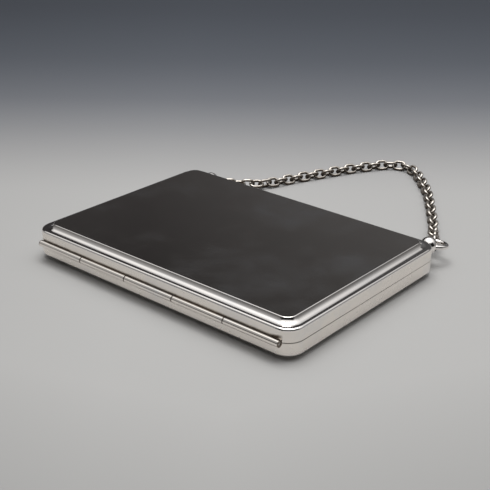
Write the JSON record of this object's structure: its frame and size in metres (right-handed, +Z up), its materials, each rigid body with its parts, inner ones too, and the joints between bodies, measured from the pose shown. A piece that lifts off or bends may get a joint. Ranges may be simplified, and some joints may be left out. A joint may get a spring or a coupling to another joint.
{
  "type": "card case",
  "caption": "Flat hinged metal card case with moulded borders, a long knuckle hinge, a push-button catch, a card pocket and a link chain between two ball lugs.",
  "frame": {"origin": "middle of the flat underside of the lower panel, on which the case lies", "axes": "+Z up through the lid, +X along the hinge to the right, +Y from the hinge to the catch and the chain"},
  "size_m": [0.1, 0.1459, 0.011],
  "materials": {
    "polished_silver": "polished",
    "moulding_silver": "polished",
    "chain_silver": "polished, darkened in the recesses",
    "spring_steel": "brushed",
    "dark_leather": "satin"
  },
  "bodies": {
    "base": {"lower_panel": "polished_silver", "lower_border": "moulding_silver", "lower_wall": "polished_silver", "inner_bezel": "polished_silver", "lower_lining": "dark_leather", "card_pocket": "dark_leather", "hinge_knuckle_1": "polished_silver", "hinge_knuckle_3": "polished_silver", "hinge_knuckle_5": "polished_silver", "hinge_pin": "spring_steel", "catch_spring": "spring_steel", "catch_rivets": "spring_steel", "button_collar": "moulding_silver", "left_ball_lug": "moulding_silver", "right_ball_lug": "moulding_silver"},
    "lid": {"upper_panel": "polished_silver", "upper_border": "moulding_silver", "upper_wall": "polished_silver", "hinge_knuckle_2": "polished_silver", "hinge_knuckle_4": "polished_silver", "catch_keeper": "spring_steel", "upper_lining": "dark_leather", "retaining_strap": "dark_leather"},
    "button": {"push_button": "moulding_silver"},
    "chain": {"right_ring": "chain_silver", "left_ring": "chain_silver", "right_end_link": "chain_silver", "chain_right_run": "chain_silver", "chain_far_bend": "chain_silver", "chain_left_run": "chain_silver", "left_end_link": "chain_silver"}
  },
  "joints": [
    {"name": "lid_hinge", "type": "hinge", "parent": "base", "child": "lid", "pos_m": [0, -0.03645, 0.0055], "axis": [1, 0, 0], "range_deg": [0, 178], "deforming": ["catch_spring"]},
    {"name": "push_button", "type": "slide", "parent": "base", "child": "button", "axis": [0, -1, 0], "range_m": [0, 0.0008], "stiffness_N_per_m": 300},
    {"name": "chain_swing", "type": "hinge", "parent": "base", "child": "chain", "pos_m": [0.0449, 0.0397, 0.0063], "axis": [0.9999, 0, 0.0156], "range_deg": [0, 75]}
  ]
}
